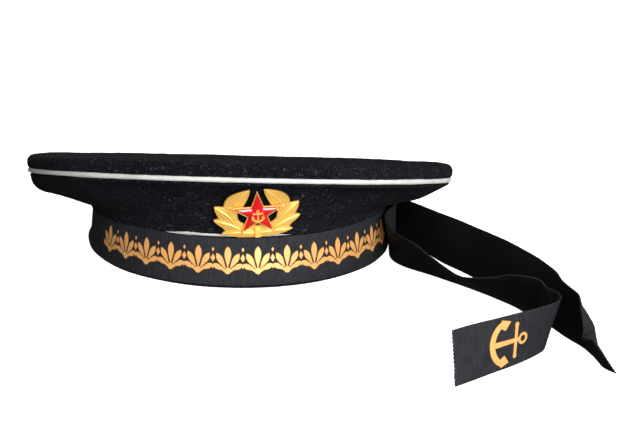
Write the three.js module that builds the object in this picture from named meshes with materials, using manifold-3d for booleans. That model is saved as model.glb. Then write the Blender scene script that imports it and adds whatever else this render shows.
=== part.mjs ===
// A peakless sailor cap of navy wool cloth, lying on its head band, with a ribbon round the band whose two
// tails run out over the floor. Millimetres and degrees, +Z up. The cap looks towards -Y.
import * as THREE from "three";
import { mergeVertices } from "three/addons/utils/BufferGeometryUtils.js";
import Module from "manifold-3d";

// Cloth and clearances
const CLOTH = 1.4; // wool cloth of the crown
const GAP = 0.3; // left between neighbouring pieces
const PIPING = 3.0; // diameter of the white cord in the rim seam
const BAND_PIPING = 2.6; // diameter of the white cord above the band

// Head band, an upright oval wall
const BAND_HALF_WIDTH = 97.0; // outside, at the foot
const BAND_HALF_LENGTH = 102.6;
const BAND_WALL = 3.0;
const BAND_FLARE = 2.7; // how far the foot stands out past the top
const BAND_FRONT = 30.8; // height in front
const BAND_BACK = 25.2; // height behind, where the crown presses it down

// Ribbon
const RIBBON_WIDTH = 29.2;
const RIBBON_THICK = 1.0;
const LAYER_GAP = 0.45; // between the ribbon and the tails that lie over it
const RIBBON_FOOT_FRONT = 1.9; // its lower edge above the floor
const RIBBON_FOOT_BACK = 0.3;

// Crown, a flat round disc on a hoop, raised in front
const RIM_RADIUS = 136.8; // to the outside of the rim piping
const RIM_ROLL = 0.7; // how far the cloth bulges past the piping
const RIM_HEIGHT = 11.3; // from the seam up to the top cloth
const RIM_CORNER = 5.5; // rounding between rim and top
const ROLL = 10.0; // cloth hanging below the rim seam at the sides
const CROWN_CENTRE_Y = -6.0;
const CROWN_CENTRE_Z = 46.5;
const CROWN_TILT = 12.4; // front raised
const CROWN_LIST = 2.35; // right-hand side, seen from in front, lowered

// Cockade
const BADGE_WIDTH = 52.5;
const BADGE_HEIGHT = 36.5;
const BADGE_PLATE = 1.2; // thickness of the wreath at its edges
const LEAF_RELIEF = 1.2; // how far the rib of a leaf stands up from it
const BADGE_BEND = 115; // radius that the badge is bent to, round the cap
const BADGE_RISE = 1.5; // its foot above the ribbon, most of which its lean takes back
const BINDING_WIDTH = 5.0; // the tie where the two branches cross
const BINDING_HEIGHT = 8.5;
const BADGE_TOUCH = 0.93; // share of its height where its back meets the crown
const LEAF_TIP = 0.3; // width that a leaf keeps at its ends
const LEAF_BLUNT = 0.8; // under 1 for a fuller leaf
const LEAF_END_RELIEF = 0.25;
const STAR_POINTS = 5;
const STAR_CENTRE = 19.0; // above the badge's foot
const STAR_RADIUS = 16.4;
const STAR_INNER = 0.39; // inner corners, as a share of the radius to its tips
const STAR_ROOM = 1.0; // how much larger the wreath's recess for it is
const STAR_PLATE = 1.0;
const ENAMEL_INSET = 1.3; // gilt edge left round the enamel
const ENAMEL_EDGE = 0.7;
const ENAMEL_DOME = 2.2; // height of its ridges at the centre
const FIGURE_HEIGHT = 9.5; // small gilt anchor on the star
const FIGURE_THICK = 0.8;

// Tails
const NEAR_TAIL_LENGTH = 311; // from where it leaves the band
const NEAR_TAIL_LEAVES = 92; // degrees round from the back
const FAR_TAIL_LENGTH = 297;
const FAR_TAIL_LEAVES = 75;

// How finely the round shapes are cut
const ROUND_STEPS = 64;
const TUBE_SIDES = 6;
const TAIL_STEPS = 60;
const HUG_STEPS = 14;
const LEAF_STEPS = 7;
const SIDE_POINTS = 16;
const CURVE_SAMPLES = 60; // where a curve is searched
const ARC_STEPS = 8;
const WELD = 1e-4; // points nearer than this are one

// The sides of the crown in section, by the angle from the front. The cloth runs from the band through
// `low` and `high`, which lie along and above the straight line to the roll, to the roll below the rim.
// `in` and `down` set the roll back from the seam as shares of ROLL, `full` swells the cloth between the two by
// a share of its length, and `tuck` is how much of a cloth's thickness the edge keeps below the seam's gap.
const CROWN_SECTIONS = [
  { turn: 0, lowAlong: 0.36, lowAbove: 0.05, highAlong: 0.8, highAbove: 0.1, in: 2, down: 0.08, full: 0, tuck: 1 },
  { turn: 30, lowAlong: 0.35, lowAbove: 0.04, highAlong: 0.78, highAbove: 0.08, in: 1.7, down: 0.35, full: 0, tuck: 1 },
  { turn: 60, lowAlong: 0.3, lowAbove: 0.02, highAlong: 0.72, highAbove: 0, in: 1.1, down: 0.85, full: 0.02, tuck: 0.8 },
  { turn: 90, lowAlong: 0.26, lowAbove: 0.03, highAlong: 0.68, highAbove: 0.02, in: 0.85, down: 1.15, full: 0.07, tuck: 0.6 },
  { turn: 110, lowAlong: 0.01, lowAbove: 0.02, highAlong: 0.24, highAbove: 0.1, in: 0.75, down: 1.25, full: 0.1, tuck: 0.5 },
  { turn: 135, lowAlong: -0.01, lowAbove: 0.035, highAlong: 0.17, highAbove: 0.15, in: 0.6, down: 1, full: 0.04, tuck: 0.5 },
  { turn: 180, lowAlong: -0.028, lowAbove: 0.043, highAlong: 0.149, highAbove: 0.2, in: 0.5, down: 0.8, full: 0.03, tuck: 0.5 },
];

// The tails, by the share of the length from where they leave the band: the heading of the lower edge over
// the floor, and how far the ribbon leans from upright, to the left of that heading.
const NEAR_TAIL = [
  { at: 0, heading: -72, lean: 0 },
  { at: 0.08, heading: -114, lean: 0 },
  { at: 0.16, heading: -89, lean: -10 },
  { at: 0.25, heading: -55, lean: -38 },
  { at: 0.35, heading: -57, lean: -48 },
  { at: 0.45, heading: -63, lean: -56 },
  { at: 0.54, heading: -71, lean: -42 },
  { at: 0.61, heading: -98, lean: -21 },
  { at: 0.66, heading: -98, lean: 3 },
  { at: 0.69, heading: -96, lean: 4 },
  { at: 0.72, heading: -94, lean: 15 },
  { at: 0.78, heading: -136, lean: 10 },
  { at: 0.88, heading: -145, lean: 0 },
  { at: 1, heading: -146, lean: -8 },
];
const FAR_TAIL = [
  { at: 0, heading: -72, lean: 0 },
  { at: 0.12, heading: -75, lean: -2 },
  { at: 0.25, heading: -75, lean: 8 },
  { at: 0.4, heading: -69, lean: 27 },
  { at: 0.55, heading: -76, lean: 26 },
  { at: 0.7, heading: -81, lean: 16 },
  { at: 0.78, heading: -79, lean: 3 },
  { at: 0.84, heading: -76, lean: -2 },
  { at: 0.9, heading: -86, lean: -13 },
  { at: 0.95, heading: -92, lean: -13 },
  { at: 1, heading: -43, lean: -41 },
];

// The leaves of one side of the wreath. `root` and `tip` are shares of the badge's half width and of its
// height, `width` is a share of its height, and `bow` bends the leaf outwards by a share of its length.
const LEAVES = [
  { root: [0.06, 0.1], tip: [0.78, 0.13], width: 0.15, bow: -0.04 },
  { root: [0.3, 0.15], tip: [0.99, 0.41], width: 0.2, bow: -0.06 },
  { root: [0.48, 0.28], tip: [0.95, 0.69], width: 0.21, bow: -0.06 },
  { root: [0.66, 0.38], tip: [0.15, 0.99], width: 0.27, bow: 0.13 },
];

// The small anchor in shares of its height, from the middle of the star. Bars are half width, foot and head.
const FIGURE = {
  shank: [0.055, -0.45, 0.33],
  stock: [0.22, 0.16, 0.25],
  armsUp: -0.12,
  armsOut: 0.38,
  armsInUp: -0.1,
  armsIn: 0.27,
  armsStart: -160,
  ringUp: 0.4,
  ringOut: 0.1,
  ringIn: 0.045,
  fluke: [
    [0.44, -0.3],
    [0.38, -0.08],
    [0.2, -0.2],
  ],
};

const wasm = await Module();
wasm.setup();

const radians = THREE.MathUtils.degToRad;

const CLOTH_COLOUR = { color: 0x14151c, roughness: 0.95, metalness: 0 };
const CORD_COLOUR = { color: 0xe9e4da, roughness: 0.8, metalness: 0 };
const RIBBON_COLOUR = { color: 0x17181b, roughness: 0.75, metalness: 0 };
const GILT = { color: 0xd9a441, roughness: 0.3, metalness: 1 };
const ENAMEL = { color: 0xb5121b, roughness: 0.12, metalness: 0 };

function named(name, geometry, finish) {
  const mesh = new THREE.Mesh(geometry, new THREE.MeshStandardMaterial(finish));
  mesh.name = name;
  return mesh;
}

// A column of a table at any place between its rows: a smooth curve that never overshoots a row.
function column(rows, key, name, at) {
  let k = 0;
  while (k < rows.length - 2 && at > rows[k + 1][key]) k += 1;
  const slope = (i) => (rows[i + 1][name] - rows[i][name]) / (rows[i + 1][key] - rows[i][key]);
  const bend = (i) => {
    if (i === 0 || i === rows.length - 1) return 0;
    const before = slope(i - 1);
    const after = slope(i);
    return before * after <= 0 ? 0 : (2 * before * after) / (before + after);
  };
  const run = rows[k + 1][key] - rows[k][key];
  const t = THREE.MathUtils.clamp((at - rows[k][key]) / run, 0, 1);
  return (
    rows[k][name] * (1 + 2 * t) * (1 - t) ** 2 +
    rows[k + 1][name] * t * t * (3 - 2 * t) +
    run * (bend(k) * t * (1 - t) ** 2 - bend(k + 1) * t * t * (1 - t))
  );
}

// One closed skin over a row of sections that each have the same number of points. A ring joins its last
// section to its first, and a strip is closed by a flat end at both.
function skin(sections, ring) {
  const around = sections[0].length;
  const positions = sections.flat().flatMap((p) => [p.x, p.y, p.z]);
  const faces = [];
  const last = ring ? sections.length : sections.length - 1;
  for (let i = 0; i < last; i += 1) {
    const here = i * around;
    const there = ((i + 1) % sections.length) * around;
    for (let j = 0; j < around; j += 1) {
      const k = (j + 1) % around;
      faces.push(here + j, there + j, there + k, here + j, there + k, here + k);
    }
  }
  if (!ring) {
    const end = (sections.length - 1) * around;
    for (let j = 1; j < around - 1; j += 1) {
      faces.push(0, j, j + 1, end, end + j + 1, end + j);
    }
  }
  const geometry = new THREE.BufferGeometry();
  geometry.setAttribute("position", new THREE.Float32BufferAttribute(positions, 3));
  geometry.setIndex(faces);
  geometry.computeVertexNormals();
  return geometry;
}

// A ring round the cap: `section` gives the outline, as [outward, up] pairs, at each angle from the front,
// and `foot` gives the oval that outward is measured from.
function ringRound(section, foot = () => [BAND_HALF_WIDTH, BAND_HALF_LENGTH]) {
  const sections = [];
  for (let i = 0; i < ROUND_STEPS; i += 1) {
    const turn = (i / ROUND_STEPS) * 360;
    const [halfWidth, halfLength] = foot(turn);
    sections.push(
      section(turn).map(([out, up]) => {
        const x = (halfWidth + out) * Math.sin(radians(turn));
        const y = -(halfLength + out) * Math.cos(radians(turn));
        return new THREE.Vector3(x, y, up);
      }),
    );
  }
  return skin(sections, true);
}

// A size that goes smoothly from its value in front to its value behind.
function frontToBack(front, back, turn) {
  return front + ((back - front) * (1 - Math.cos(radians(turn)))) / 2;
}

const bandTop = (turn) => frontToBack(BAND_FRONT, BAND_BACK, turn);
const ribbonFoot = (turn) => frontToBack(RIBBON_FOOT_FRONT, RIBBON_FOOT_BACK, turn);
const ribbonRise = Math.sqrt(RIBBON_WIDTH ** 2 - BAND_FLARE ** 2);

// How far the band's outside stands in from its foot at a height.
const bandLean = (up) => (-BAND_FLARE * up) / BAND_FRONT;

function band() {
  return ringRound((turn) => {
    const top = bandTop(turn);
    return [
      [0, 0],
      [bandLean(top), top],
      [bandLean(top) - BAND_WALL, top],
      [-BAND_WALL, 0],
    ];
  });
}

function ribbonBand() {
  return ringRound((turn) => {
    const foot = ribbonFoot(turn);
    const top = foot + ribbonRise;
    return [
      [bandLean(foot) + GAP + RIBBON_THICK, foot],
      [bandLean(top) + GAP + RIBBON_THICK, top],
      [bandLean(top) + GAP, top],
      [bandLean(foot) + GAP, foot],
    ];
  });
}

// The cord above the band sits just inside the band's outer face, so that the ribbon passes it.
function bandPiping() {
  const radius = BAND_PIPING / 2;
  return ringRound((turn) => {
    const top = bandTop(turn);
    const up = top + GAP + radius;
    const centre = [bandLean(up) - radius, up];
    return Array.from({ length: TUBE_SIDES }, (_, k) => {
      const angle = radians((k * 360) / TUBE_SIDES);
      return [centre[0] + radius * Math.cos(angle), centre[1] + radius * Math.sin(angle)];
    });
  });
}

// The disc of the crown has a frame of its own: its centre in the seam, its axis square to the disc.
const crownFrame = new THREE.Group();
crownFrame.position.set(0, CROWN_CENTRE_Y, CROWN_CENTRE_Z);
crownFrame.rotation.set(-radians(CROWN_TILT), radians(CROWN_LIST), 0);
crownFrame.updateMatrix();

function onCrown(turn, radius, height) {
  const x = radius * Math.sin(radians(turn));
  const y = -radius * Math.cos(radians(turn));
  return new THREE.Vector3(x, y, height).applyMatrix4(crownFrame.matrix);
}

// Turns a profile of [radius, height] pairs round the crown's axis.
function turned(profile) {
  const points = profile.map(([radius, height]) => new THREE.Vector2(radius, height));
  const geometry = new THREE.LatheGeometry(points, ROUND_STEPS);
  geometry.rotateX(Math.PI / 2);
  return geometry;
}

const SEAM = PIPING / 2 + GAP; // the cloth's edges stand this far from the middle of the seam
const CORD_CENTRE = RIM_RADIUS - PIPING / 2;

// The rounded corner between the rim and the top, as steps from the rim up.
function rimCorner(radius, inset, steps) {
  return Array.from({ length: steps + 1 }, (_, k) => {
    const angle = (k / steps) * (Math.PI / 2);
    return [
      RIM_RADIUS + RIM_ROLL - inset - radius * (1 - Math.cos(angle)),
      RIM_HEIGHT - inset - radius * (1 - Math.sin(angle)),
    ];
  });
}

function crownTop() {
  const bulge = [RIM_RADIUS + 0.6 * RIM_ROLL, (SEAM + RIM_HEIGHT - RIM_CORNER) / 2];
  const outer = [[CORD_CENTRE, SEAM], bulge, ...rimCorner(RIM_CORNER, 0, 3), [0, RIM_HEIGHT]];
  const inner = [[CORD_CENTRE - CLOTH, SEAM], ...rimCorner(RIM_CORNER - CLOTH, CLOTH, 2), [0, RIM_HEIGHT - CLOTH]];
  return turned([...inner.reverse(), ...outer]);
}

function crownPiping() {
  return new THREE.TorusGeometry(CORD_CENTRE, PIPING / 2, TUBE_SIDES, ROUND_STEPS);
}

// The outer line of the crown's side at an angle from the front, from the band up to the seam.
function sideLine(turn) {
  const folded = turn > 180 ? 360 - turn : turn;
  const cut = (name) => column(CROWN_SECTIONS, "turn", name, folded);
  const start = bandTop(turn) + BAND_PIPING + 2 * GAP;
  const inset = bandLean(bandTop(turn)) - 2 * GAP;
  const from = new THREE.Vector3(
    (BAND_HALF_WIDTH + inset) * Math.sin(radians(turn)),
    -(BAND_HALF_LENGTH + inset) * Math.cos(radians(turn)),
    start,
  );
  const to = onCrown(turn, CORD_CENTRE, -SEAM - CLOTH * cut("tuck"));
  const outward = new THREE.Vector3(to.x - from.x, to.y - from.y, 0).normalize();
  const up = new THREE.Vector3(0, 0, 1);
  const roll = to.clone().addScaledVector(outward, -ROLL * cut("in")).addScaledVector(up, -ROLL * cut("down"));
  const line = roll.clone().sub(from);
  const above = new THREE.Vector3().copy(up).multiplyScalar(line.dot(outward));
  above.addScaledVector(outward, -line.z);
  const between = (along, off) => from.clone().addScaledVector(line, along).addScaledVector(above, off);
  const low = between(cut("lowAlong"), cut("lowAbove"));
  const high = between(cut("highAlong"), cut("highAbove"));
  const hang = to.clone().sub(roll);
  const swell = roll.clone().addScaledVector(hang, 0.5);
  swell.addScaledVector(outward, hang.z * cut("full")).addScaledVector(up, -hang.dot(outward) * cut("full"));
  const curve = new THREE.CatmullRomCurve3([from, low, high, roll, swell, to], false, "centripetal");
  return { curve, outward };
}

function crownSide() {
  const sections = [];
  for (let i = 0; i < ROUND_STEPS; i += 1) {
    const { curve, outward } = sideLine((i / ROUND_STEPS) * 360);
    const outer = [];
    const inner = [];
    for (let k = 0; k < SIDE_POINTS; k += 1) {
      const t = k / (SIDE_POINTS - 1);
      const point = curve.getPoint(t);
      const along = curve.getTangent(t);
      const run = along.dot(outward);
      const inside = outward.clone().multiplyScalar(-along.z).add(new THREE.Vector3(0, 0, run));
      outer.push(point);
      inner.push(point.clone().addScaledVector(inside.normalize(), CLOTH));
    }
    sections.push([...outer, ...inner.reverse()]);
  }
  return skin(sections, true);
}

// Where a tail runs: round the back of the ribbon, `layers` of ribbon out from it, then over the floor.
function tailPath(rows, length, leaves, layers) {
  const out = layers * (RIBBON_THICK + LAYER_GAP) + GAP + RIBBON_THICK / 2;
  const halfWidth = BAND_HALF_WIDTH + out;
  const halfLength = BAND_HALF_LENGTH + out;
  const path = [];
  for (let i = 0; i < HUG_STEPS; i += 1) {
    const angle = radians((leaves * i) / HUG_STEPS);
    const point = new THREE.Vector2(halfWidth * Math.sin(angle), halfLength * Math.cos(angle));
    const heading = Math.atan2(-halfLength * Math.sin(angle), halfWidth * Math.cos(angle));
    path.push({ point, heading, lean: 0 });
  }
  const angle = radians(leaves);
  const point = new THREE.Vector2(halfWidth * Math.sin(angle), halfLength * Math.cos(angle));
  for (let i = 0; i <= TAIL_STEPS; i += 1) {
    const at = i / TAIL_STEPS;
    const heading = radians(column(rows, "at", "heading", at));
    path.push({ point: point.clone(), heading, lean: radians(column(rows, "at", "lean", at)) });
    const middle = radians(column(rows, "at", "heading", Math.min(1, at + 0.5 / TAIL_STEPS)));
    point.x += (length / TAIL_STEPS) * Math.cos(middle);
    point.y += (length / TAIL_STEPS) * Math.sin(middle);
  }
  return path;
}

// The ribbon stands on its lower edge, and its lowest corner is on the floor.
function tail(rows, length, leaves, layers) {
  const half = RIBBON_THICK / 2;
  const sections = tailPath(rows, length, leaves, layers).map(({ point, heading, lean }) => {
    const side = new THREE.Vector3(-Math.sin(heading), Math.cos(heading), 0);
    const up = new THREE.Vector3(0, 0, Math.cos(lean)).addScaledVector(side, Math.sin(lean));
    const through = side.clone().multiplyScalar(Math.cos(lean)).add(new THREE.Vector3(0, 0, -Math.sin(lean)));
    const foot = new THREE.Vector3(point.x, point.y, half * Math.abs(Math.sin(lean)));
    const top = foot.clone().addScaledVector(up, RIBBON_WIDTH);
    return [
      top.clone().addScaledVector(through, -half),
      top.clone().addScaledVector(through, half),
      foot.clone().addScaledVector(through, half),
      foot.clone().addScaledVector(through, -half),
    ];
  });
  return skin(sections, false);
}

// A solid for cutting and joining, from a closed geometry.
function solid(geometry) {
  const bare = new THREE.BufferGeometry();
  bare.setAttribute("position", geometry.getAttribute("position").clone());
  bare.setIndex(geometry.index);
  const merged = mergeVertices(bare, WELD);
  return new wasm.Manifold(
    new wasm.Mesh({
      numProp: 3,
      vertProperties: merged.attributes.position.array,
      triVerts: new Uint32Array(merged.index.array),
    }),
  );
}

function geometryOf(manifold) {
  const mesh = manifold.getMesh();
  const geometry = new THREE.BufferGeometry();
  geometry.setAttribute("position", new THREE.BufferAttribute(mesh.vertProperties, 3));
  geometry.setIndex(new THREE.BufferAttribute(mesh.triVerts, 1));
  const faceted = geometry.toNonIndexed();
  faceted.computeVertexNormals();
  return faceted;
}

// The badge's own frame stands on the ribbon's top edge, leaning forward with the crown's front: X across,
// Y up the front of the crown, Z out towards the viewer.
const frontLine = sideLine(0).curve.getPoints(CURVE_SAMPLES);
const badgeFoot = ribbonFoot(0) + ribbonRise + BADGE_RISE;
const badgeHead = frontLine.find((point) => point.z > badgeFoot + BADGE_HEIGHT * BADGE_TOUCH);
const badgeLean = Math.atan2(frontLine[0].y - badgeHead.y, badgeHead.z - frontLine[0].z);
const badgeFrame = new THREE.Group();
badgeFrame.position.set(0, frontLine[0].y, badgeFoot);
badgeFrame.rotation.x = Math.PI / 2 + badgeLean;
badgeFrame.updateMatrix();

// How far the bent badge falls back at a place across it.
const badgeSag = (across) => across ** 2 / (2 * BADGE_BEND);

// How far out the back of the badge has to be to clear the crown and the cord by the gap.
function badgeSeat() {
  const toBadge = badgeFrame.matrix.clone().invert();
  const cord = new THREE.Vector3(0, 0, 0);
  cord.y = -(BAND_HALF_LENGTH + bandLean(BAND_FRONT));
  cord.z = BAND_FRONT + GAP + BAND_PIPING / 2;
  const touched = [cord.applyMatrix4(toBadge).z];
  const reach = THREE.MathUtils.radToDeg(Math.asin(BADGE_WIDTH / 2 / BAND_HALF_WIDTH));
  const tries = Array.from({ length: ARC_STEPS + 1 }, (_, k) => (2 * k) / ARC_STEPS - 1);
  for (const share of tries) {
    const turn = reach * share;
    for (const point of sideLine(turn < 0 ? turn + 360 : turn).curve.getPoints(CURVE_SAMPLES)) {
      const { x, y, z } = point.applyMatrix4(toBadge);
      if (Math.abs(x) < BADGE_WIDTH / 2 && y > 0 && y < BADGE_HEIGHT) touched.push(z + badgeSag(x));
    }
  }
  return Math.max(...touched) + GAP;
}
const seat = badgeSeat();

// One leaf, flat behind and roofed along its rib, from its root to its pointed tip.
function leaf({ root, tip, width, bow }, side) {
  const from = new THREE.Vector2((side * root[0] * BADGE_WIDTH) / 2, root[1] * BADGE_HEIGHT);
  const to = new THREE.Vector2((side * tip[0] * BADGE_WIDTH) / 2, tip[1] * BADGE_HEIGHT);
  const run = to.clone().sub(from);
  const across = new THREE.Vector2(-run.y, run.x).normalize();
  const sections = [];
  for (let i = 0; i <= LEAF_STEPS; i += 1) {
    const t = i / LEAF_STEPS;
    const swell = Math.sin(Math.PI * t);
    const middle = from.clone().addScaledVector(run, t);
    middle.addScaledVector(across, -side * bow * run.length() * swell);
    const half = Math.max(LEAF_TIP, width * BADGE_HEIGHT * swell ** LEAF_BLUNT) / 2;
    const place = (off, out) => {
      const point = middle.clone().addScaledVector(across, off);
      return new THREE.Vector3(point.x, point.y, seat + out - badgeSag(point.x));
    };
    sections.push([
      place(-half, 0),
      place(-half, BADGE_PLATE),
      place(0, BADGE_PLATE + LEAF_RELIEF * Math.min(1, LEAF_END_RELIEF + swell)),
      place(half, BADGE_PLATE),
      place(half, 0),
    ]);
  }
  return solid(skin(sections, false));
}

function starShape(radius) {
  const shape = new THREE.Shape();
  for (let k = 0; k < 2 * STAR_POINTS; k += 1) {
    const reach = k % 2 ? radius * STAR_INNER : radius;
    const angle = Math.PI / 2 + (k * Math.PI) / STAR_POINTS;
    shape[k ? "lineTo" : "moveTo"](reach * Math.cos(angle), reach * Math.sin(angle));
  }
  shape.closePath();
  return shape;
}

function extruded(shape, depth, x, y, z) {
  const geometry = new THREE.ExtrudeGeometry(shape, { depth, bevelEnabled: false, curveSegments: ARC_STEPS });
  return geometry.translate(x, y, z);
}

const starBack = seat + BADGE_PLATE + GAP;
const enamelBack = starBack + STAR_PLATE + GAP;

// The wreath is one casting: its leaves and the tie, with a recess that the star sits in.
function wreath() {
  const full = BADGE_PLATE + LEAF_RELIEF;
  const tie = new THREE.BoxGeometry(BINDING_WIDTH, BINDING_HEIGHT, full);
  let made = solid(tie.translate(0, BINDING_HEIGHT / 2, seat + full / 2));
  for (const row of LEAVES) {
    for (const side of [-1, 1]) made = made.add(leaf(row, side));
  }
  const recess = extruded(starShape(STAR_RADIUS + STAR_ROOM), 2 * full, 0, STAR_CENTRE, seat + BADGE_PLATE);
  return geometryOf(made.subtract(solid(recess)));
}

function starPlate() {
  return extruded(starShape(STAR_RADIUS), STAR_PLATE, 0, STAR_CENTRE, starBack);
}

// The enamel rises in ridges from each tip to the centre, with valleys from the inner corners.
function enamel() {
  const rim = starShape(STAR_RADIUS - ENAMEL_INSET).getPoints().slice(0, 2 * STAR_POINTS);
  const rows = [
    rim.map(({ x, y }) => new THREE.Vector3(x, y, 0)),
    rim.map(({ x, y }) => new THREE.Vector3(x, y, ENAMEL_EDGE)),
  ];
  const positions = [...rows.flat(), new THREE.Vector3(0, 0, 0), new THREE.Vector3(0, 0, ENAMEL_DOME)];
  const faces = [];
  for (let k = 0; k < rim.length; k += 1) {
    const next = (k + 1) % rim.length;
    faces.push(k, next, next + rim.length, k, next + rim.length, k + rim.length);
    faces.push(next, k, 2 * rim.length, k + rim.length, next + rim.length, 2 * rim.length + 1);
  }
  const geometry = new THREE.BufferGeometry();
  geometry.setAttribute("position", new THREE.Float32BufferAttribute(positions.flatMap((p) => [p.x, p.y, p.z]), 3));
  geometry.setIndex(faces);
  geometry.computeVertexNormals();
  return geometry.translate(0, STAR_CENTRE, enamelBack);
}

// A small anchor: shank, stock, ring, and curved arms with flukes.
function figure() {
  const sized = (share) => share * FIGURE_HEIGHT;
  const { armsOut, armsIn, armsStart, ringUp, ringOut, ringIn } = FIGURE;
  const from = radians(armsStart);
  const to = -Math.PI - from;
  const arms = new THREE.Shape();
  arms.absarc(0, sized(FIGURE.armsUp), sized(armsOut), from, to, false);
  arms.absarc(0, sized(FIGURE.armsInUp), sized(armsIn), to, from, true);
  arms.closePath();
  const ring = new THREE.Shape().absarc(0, sized(ringUp), sized(ringOut), 0, 2 * Math.PI, false);
  ring.holes.push(new THREE.Path().absarc(0, sized(ringUp), sized(ringIn), 0, 2 * Math.PI, true));
  const flat = (corners) => new THREE.Shape(corners.map(([x, y]) => new THREE.Vector2(sized(x), sized(y))));
  const bar = ([half, low, high]) =>
    flat([
      [-half, low],
      [half, low],
      [half, high],
      [-half, high],
    ]);
  const fluke = (side) => flat(FIGURE.fluke.map(([x, y]) => [side * x, y]));
  const shapes = [bar(FIGURE.shank), bar(FIGURE.stock), arms, ring, fluke(-1), fluke(1)];
  const out = enamelBack + ENAMEL_DOME + GAP;
  const made = shapes.map((shape) => solid(extruded(shape, FIGURE_THICK, 0, STAR_CENTRE, out)));
  return geometryOf(made.reduce((joined, next) => joined.add(next)));
}

const cap = new THREE.Group();
cap.add(named("band", band(), CLOTH_COLOUR));
cap.add(named("ribbon_band", ribbonBand(), RIBBON_COLOUR));
cap.add(named("band_piping", bandPiping(), CORD_COLOUR));
cap.add(named("crown_side", crownSide(), CLOTH_COLOUR));

crownFrame.add(named("crown_top", crownTop(), CLOTH_COLOUR));
crownFrame.add(named("crown_piping", crownPiping(), CORD_COLOUR));
cap.add(crownFrame);

badgeFrame.add(named("cockade_wreath", wreath(), GILT));
badgeFrame.add(named("cockade_star", starPlate(), GILT));
badgeFrame.add(named("star_enamel", enamel(), ENAMEL));
badgeFrame.add(named("star_figure", figure(), GILT));
cap.add(badgeFrame);

cap.add(named("ribbon_tail_near", tail(NEAR_TAIL, NEAR_TAIL_LENGTH, NEAR_TAIL_LEAVES, 1), RIBBON_COLOUR));
cap.add(named("ribbon_tail_far", tail(FAR_TAIL, FAR_TAIL_LENGTH, FAR_TAIL_LEAVES, 2), RIBBON_COLOUR));

// The origin is on the floor below the middle of the whole cap with its tails.
const reach = new THREE.Box3().setFromObject(cap, true);
const middle = reach.getCenter(new THREE.Vector3());
cap.position.set(-middle.x, -middle.y, -reach.min.z);

export default cap;
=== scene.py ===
import math

import bmesh
import bpy
import numpy as np
from mathutils import Matrix, Vector, geometry, noise


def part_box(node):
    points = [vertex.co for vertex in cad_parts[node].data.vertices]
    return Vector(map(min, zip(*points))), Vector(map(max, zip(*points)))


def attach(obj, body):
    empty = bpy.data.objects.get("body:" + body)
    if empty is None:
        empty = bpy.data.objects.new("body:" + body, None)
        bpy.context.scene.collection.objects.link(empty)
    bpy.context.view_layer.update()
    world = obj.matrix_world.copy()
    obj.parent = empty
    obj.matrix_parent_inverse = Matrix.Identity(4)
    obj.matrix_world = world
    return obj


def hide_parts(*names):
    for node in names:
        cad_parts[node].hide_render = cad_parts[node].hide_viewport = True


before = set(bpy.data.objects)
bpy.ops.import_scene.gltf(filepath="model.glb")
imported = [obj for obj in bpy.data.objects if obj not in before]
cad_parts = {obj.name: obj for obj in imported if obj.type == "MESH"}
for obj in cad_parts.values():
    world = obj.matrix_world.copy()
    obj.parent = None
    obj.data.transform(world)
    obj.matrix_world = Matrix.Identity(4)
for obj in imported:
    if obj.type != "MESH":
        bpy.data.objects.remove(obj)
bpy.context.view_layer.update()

# The head band is an upright oval ring of wool cloth, turned in at its foot, and the cap lies on it.
# It leans in a little towards the top and is pressed lower behind, where the crown bears on it.
band_low, band_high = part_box("band")
MIDDLE = Vector(((band_low.x + band_high.x) / 2, (band_low.y + band_high.y) / 2, band_low.z))
BAND_HALF_WIDTH = (band_high.x - band_low.x) / 2
BAND_HALF_LENGTH = (band_high.y - band_low.y) / 2
BAND_FRONT = band_high.z - band_low.z
BAND_BACK = 0.0252
BAND_FLARE = 0.0027
BAND_WALL = 0.003
BAND_CORNER = 0.0009
BAND_WAVES = [(0.03, 0.0003)]
BAND_STEPS = 400
GAP = 0.0003


class Value:
    """A number or a colour that varies over a surface, written with ordinary arithmetic."""

    def __init__(self, finish, socket):
        self.finish = finish
        self.socket = socket

    def math(self, operation, *others):
        return self.finish.node("ShaderNodeMath", {"operation": operation}, dict(enumerate((self, *others))))

    def __add__(self, other):
        return self.math("ADD", other)

    def __sub__(self, other):
        return self.math("SUBTRACT", other)

    def __mul__(self, other):
        return self.math("MULTIPLY", other)

    def __rsub__(self, other):
        return self.finish.node("ShaderNodeMath", {"operation": "SUBTRACT"}, {0: other, 1: self})

    __radd__ = __add__
    __rmul__ = __mul__


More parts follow.
